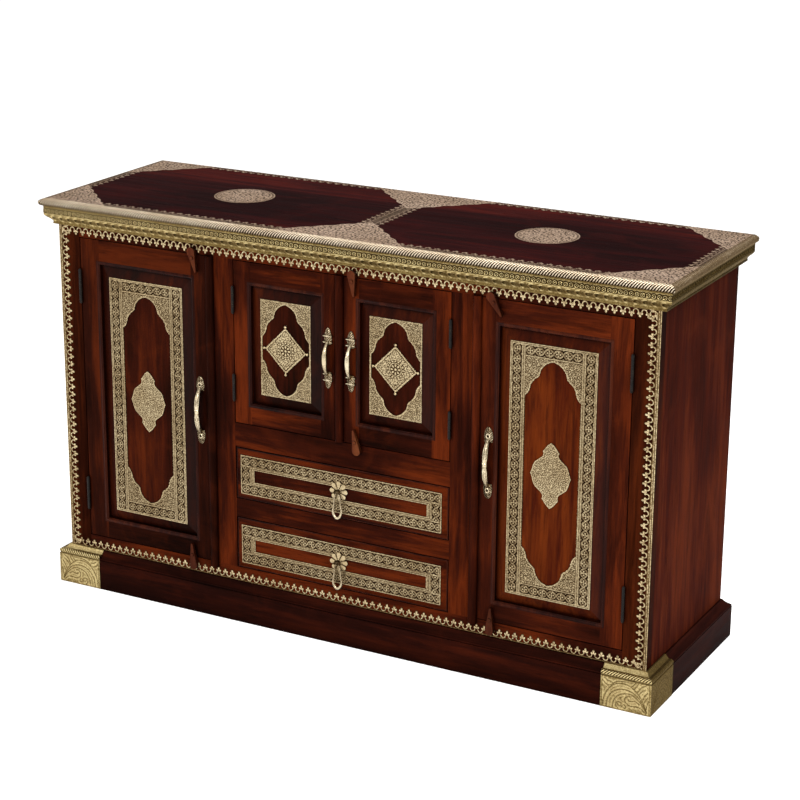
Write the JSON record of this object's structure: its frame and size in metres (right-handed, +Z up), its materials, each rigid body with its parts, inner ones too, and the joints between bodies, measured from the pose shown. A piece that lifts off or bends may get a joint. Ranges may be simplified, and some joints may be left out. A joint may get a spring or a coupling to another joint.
{
  "type": "sideboard cabinet",
  "caption": "Long cabinet with hinged cupboard doors, sliding drawers, turn latches and ring pulls, its dark wood clad with embossed and pierced brass.",
  "frame": {"origin": "on the floor under the middle of the bounding box", "axes": "+X to the right along the length seen from the front, -Y out of the front, +Z up"},
  "size_m": [1.52, 0.48, 0.92],
  "materials": {
    "dark_wood": "dark polished rosewood colour",
    "inner_wood": "plain oiled",
    "embossed_brass": "embossed, aged",
    "handle_brass": "cast, antique",
    "hinge_metal": "dark patina"
  },
  "bodies": {
    "carcass": {"plinth_front": "dark_wood", "plinth_back": "dark_wood", "plinth_ends": "dark_wood", "plinth_corner_caps": "embossed_brass", "side_panel_left": "dark_wood", "side_panel_right": "dark_wood", "back_panel": "inner_wood", "bottom_board": "inner_wood", "partitions": "inner_wood", "cupboard_shelves": "inner_wood", "middle_shelf": "inner_wood", "drawer_runners": "inner_wood", "face_stiles": "dark_wood", "mullions": "dark_wood", "top_rail": "dark_wood", "bottom_rail": "dark_wood", "middle_rail": "dark_wood", "drawer_rail": "dark_wood", "top_board": "dark_wood", "cornice": "embossed_brass", "nosing": "embossed_brass", "top_overlay": "embossed_brass", "top_medallions": "embossed_brass", "crest_strips": "embossed_brass", "hinge_frame_leaves": "hinge_metal"},
    "left_door": {"left_door_frame": "dark_wood", "left_door_panel": "dark_wood", "left_door_brass": "embossed_brass", "left_door_handle": "handle_brass", "left_door_hinge_leaves": "hinge_metal"},
    "middle_left_door": {"middle_left_door_frame": "dark_wood", "middle_left_door_panel": "dark_wood", "middle_left_door_brass": "embossed_brass", "middle_left_door_handle": "handle_brass", "middle_left_door_hinge_leaves": "hinge_metal"},
    "middle_right_door": {"middle_right_door_frame": "dark_wood", "middle_right_door_panel": "dark_wood", "middle_right_door_brass": "embossed_brass", "middle_right_door_handle": "handle_brass", "middle_right_door_hinge_leaves": "hinge_metal"},
    "right_door": {"right_door_frame": "dark_wood", "right_door_panel": "dark_wood", "right_door_brass": "embossed_brass", "right_door_handle": "handle_brass", "right_door_hinge_leaves": "hinge_metal"},
    "upper_drawer": {"upper_drawer_front": "dark_wood", "upper_drawer_box": "inner_wood", "upper_drawer_brass": "embossed_brass"},
    "upper_drawer_ring": {"upper_drawer_ring": "handle_brass"},
    "lower_drawer": {"lower_drawer_front": "dark_wood", "lower_drawer_box": "inner_wood", "lower_drawer_brass": "embossed_brass"},
    "lower_drawer_ring": {"lower_drawer_ring": "handle_brass"},
    "left_top_latch": {"left_top_latch": "dark_wood"},
    "left_bottom_latch": {"left_bottom_latch": "dark_wood"},
    "middle_top_latch": {"middle_top_latch": "dark_wood"},
    "middle_bottom_latch": {"middle_bottom_latch": "dark_wood"},
    "right_top_latch": {"right_top_latch": "dark_wood"},
    "right_bottom_latch": {"right_bottom_latch": "dark_wood"}
  },
  "joints": [
    {"name": "left_door_swing", "type": "hinge", "parent": "carcass", "child": "left_door", "pos_m": [-0.669, -0.2153, 0.4805], "axis": [0, 0, -1], "range_deg": [0, 110]},
    {"name": "middle_left_door_swing", "type": "hinge", "parent": "carcass", "child": "middle_left_door", "pos_m": [-0.265, -0.2153, 0.6515], "axis": [0, 0, -1], "range_deg": [0, 110]},
    {"name": "middle_right_door_swing", "type": "hinge", "parent": "carcass", "child": "middle_right_door", "pos_m": [0.265, -0.2153, 0.6515], "axis": [0, 0, 1], "range_deg": [0, 110]},
    {"name": "right_door_swing", "type": "hinge", "parent": "carcass", "child": "right_door", "pos_m": [0.669, -0.2153, 0.4805], "axis": [0, 0, 1], "range_deg": [0, 110]},
    {"name": "upper_drawer_slide", "type": "slide", "parent": "carcass", "child": "upper_drawer", "axis": [0, -1, 0], "range_m": [0, 0.28]},
    {"name": "lower_drawer_slide", "type": "slide", "parent": "carcass", "child": "lower_drawer", "axis": [0, -1, 0], "range_m": [0, 0.28]},
    {"name": "upper_drawer_ring_swing", "type": "hinge", "parent": "upper_drawer", "child": "upper_drawer_ring", "pos_m": [0, -0.2243, 0.3545], "axis": [-1, 0, 0], "range_deg": [0, 100]},
    {"name": "lower_drawer_ring_swing", "type": "hinge", "parent": "lower_drawer", "child": "lower_drawer_ring", "pos_m": [0, -0.2243, 0.1895], "axis": [-1, 0, 0], "range_deg": [0, 100]},
    {"name": "left_top_latch_turn", "type": "hinge", "parent": "left_door", "child": "left_top_latch", "pos_m": [-0.3645, -0.213, 0.829], "axis": [0, -1, 0], "range_deg": [-90, 40]},
    {"name": "left_bottom_latch_turn", "type": "hinge", "parent": "left_door", "child": "left_bottom_latch", "pos_m": [-0.3815, -0.213, 0.132], "axis": [0, -1, 0], "range_deg": [-80, 80]},
    {"name": "middle_top_latch_turn", "type": "hinge", "parent": "middle_right_door", "child": "middle_top_latch", "pos_m": [0.034, -0.213, 0.829], "axis": [0, -1, 0], "range_deg": [-45, 80]},
    {"name": "middle_bottom_latch_turn", "type": "hinge", "parent": "middle_right_door", "child": "middle_bottom_latch", "pos_m": [0.041, -0.213, 0.474], "axis": [0, -1, 0], "range_deg": [-80, 80]},
    {"name": "right_top_latch_turn", "type": "hinge", "parent": "right_door", "child": "right_top_latch", "pos_m": [0.364, -0.213, 0.829], "axis": [0, -1, 0], "range_deg": [-85, 55]},
    {"name": "right_bottom_latch_turn", "type": "hinge", "parent": "right_door", "child": "right_bottom_latch", "pos_m": [0.369, -0.213, 0.132], "axis": [0, -1, 0], "range_deg": [-60, 80]}
  ]
}
